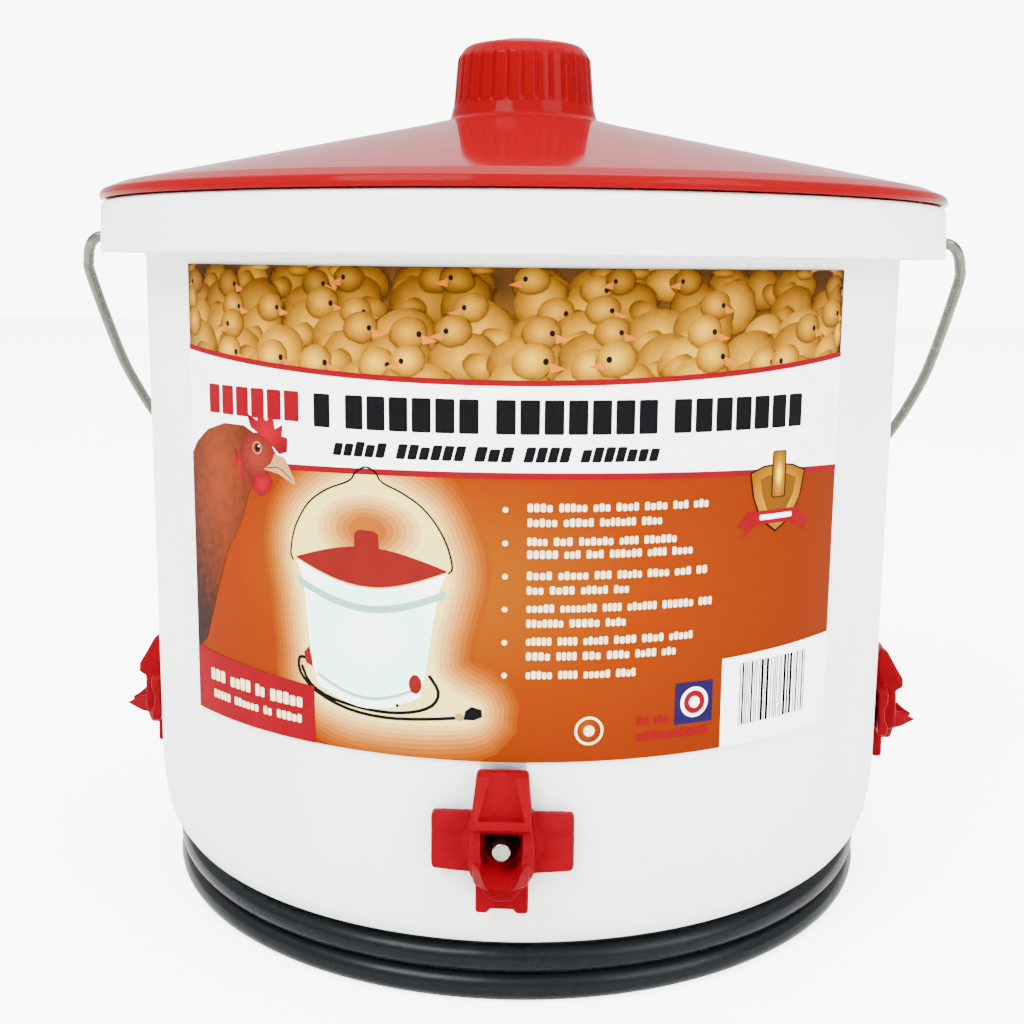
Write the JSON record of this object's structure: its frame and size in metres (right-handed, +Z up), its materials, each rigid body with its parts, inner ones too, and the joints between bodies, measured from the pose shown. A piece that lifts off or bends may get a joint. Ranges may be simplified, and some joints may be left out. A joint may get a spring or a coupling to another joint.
{
  "type": "poultry_waterer_fount",
  "caption": "Heated poultry drinker: white pail with red cone lid, wire bail, printed label, three red side nipples with steel pins, heated base pan and wound mains cord",
  "frame": {"origin": "middle of the base's flat underside, on the pail's axis", "axes": "+Z up along the pail axis, -Y towards the front nipple and the middle of the label, +X to the right seen from the front"},
  "size_m": [0.316, 0.2835, 0.2784],
  "materials": {
    "white_plastic": "satin moulded polypropylene",
    "red_gloss": "glossy injection moulded",
    "nipple_red": "semi gloss moulded",
    "galvanised_wire": "zinc coated drawn wire",
    "steel": "bright stainless",
    "brass": "plain rolled",
    "aluminium": "rolled sheet and tube",
    "printed_label": "printed and laminated film",
    "black_vinyl": "extruded and moulded vinyl",
    "black_rubber": "moulded",
    "fibre_pad": "needled fibre mat",
    "white_lead": "sleeved wire",
    "green_lead": "sleeved wire",
    "brown_moulding": "phenolic moulding"
  },
  "bodies": {
    "fount": {"pail": "white_plastic", "label": "printed_label", "base_pan": "white_plastic", "pan_screw_1": "steel", "pan_screw_2": "steel", "pan_screw_3": "steel", "pan_screw_4": "steel", "nipple_body_front": "nipple_red", "nipple_gasket_front": "black_rubber", "nipple_nut_front": "nipple_red", "nipple_cap_front": "nipple_red", "nipple_seal_front": "black_rubber", "nipple_spring_front": "steel", "nipple_body_right": "nipple_red", "nipple_gasket_right": "black_rubber", "nipple_nut_right": "nipple_red", "nipple_cap_right": "nipple_red", "nipple_seal_right": "black_rubber", "nipple_spring_right": "steel", "nipple_body_left": "nipple_red", "nipple_gasket_left": "black_rubber", "nipple_nut_left": "nipple_red", "nipple_cap_left": "nipple_red", "nipple_seal_left": "black_rubber", "nipple_spring_left": "steel", "heat_spreader": "aluminium", "insulation_pad": "fibre_pad", "heating_element": "aluminium", "thermostat": "brown_moulding", "thermostat_bracket": "steel", "thermal_fuse": "steel", "crimp_live": "white_lead", "crimp_neutral": "white_lead", "wire_live": "black_vinyl", "wire_live_inner": "black_vinyl", "wire_fuse": "black_vinyl", "wire_element": "white_lead", "wire_neutral": "white_lead", "wire_neutral_inner": "white_lead", "wire_ground": "green_lead", "strain_relief": "black_vinyl", "cord_lead_in": "black_vinyl", "cord_coil": "black_vinyl", "cord_tail": "black_vinyl", "plug_body": "black_vinyl", "plug_blade_line": "brass", "plug_blade_neutral": "brass", "plug_ground_pin": "brass"},
    "lid_body": {"lid": "red_gloss"},
    "bail_body": {"bail": "galvanised_wire"},
    "pin_front_body": {"nipple_pin_front": "steel"},
    "pin_right_body": {"nipple_pin_right": "steel"},
    "pin_left_body": {"nipple_pin_left": "steel"}
  },
  "joints": [
    {"name": "bail_swing", "type": "hinge", "parent": "fount", "child": "bail_body", "pos_m": [0, 0, 0.21], "axis": [1, 0, 0], "range_deg": [0, 268]},
    {"name": "lid_lift", "type": "slide", "parent": "fount", "child": "lid_body", "axis": [0, 0, 1], "range_m": [0, 0.05]},
    {"name": "pin_front_tilt", "type": "hinge", "parent": "fount", "child": "pin_front_body", "pos_m": [0, -0.1117, 0.0504], "axis": [1, 0, 0], "range_deg": [-6, 6], "stiffness_Nm_per_rad": 0.05},
    {"name": "pin_right_tilt", "type": "hinge", "parent": "fount", "child": "pin_right_body", "pos_m": [0.1117, 0, 0.0504], "axis": [0, 1, 0], "range_deg": [-6, 6], "stiffness_Nm_per_rad": 0.05},
    {"name": "pin_left_tilt", "type": "hinge", "parent": "fount", "child": "pin_left_body", "pos_m": [-0.1117, 0, 0.0504], "axis": [0, -1, 0], "range_deg": [-6, 6], "stiffness_Nm_per_rad": 0.05}
  ]
}
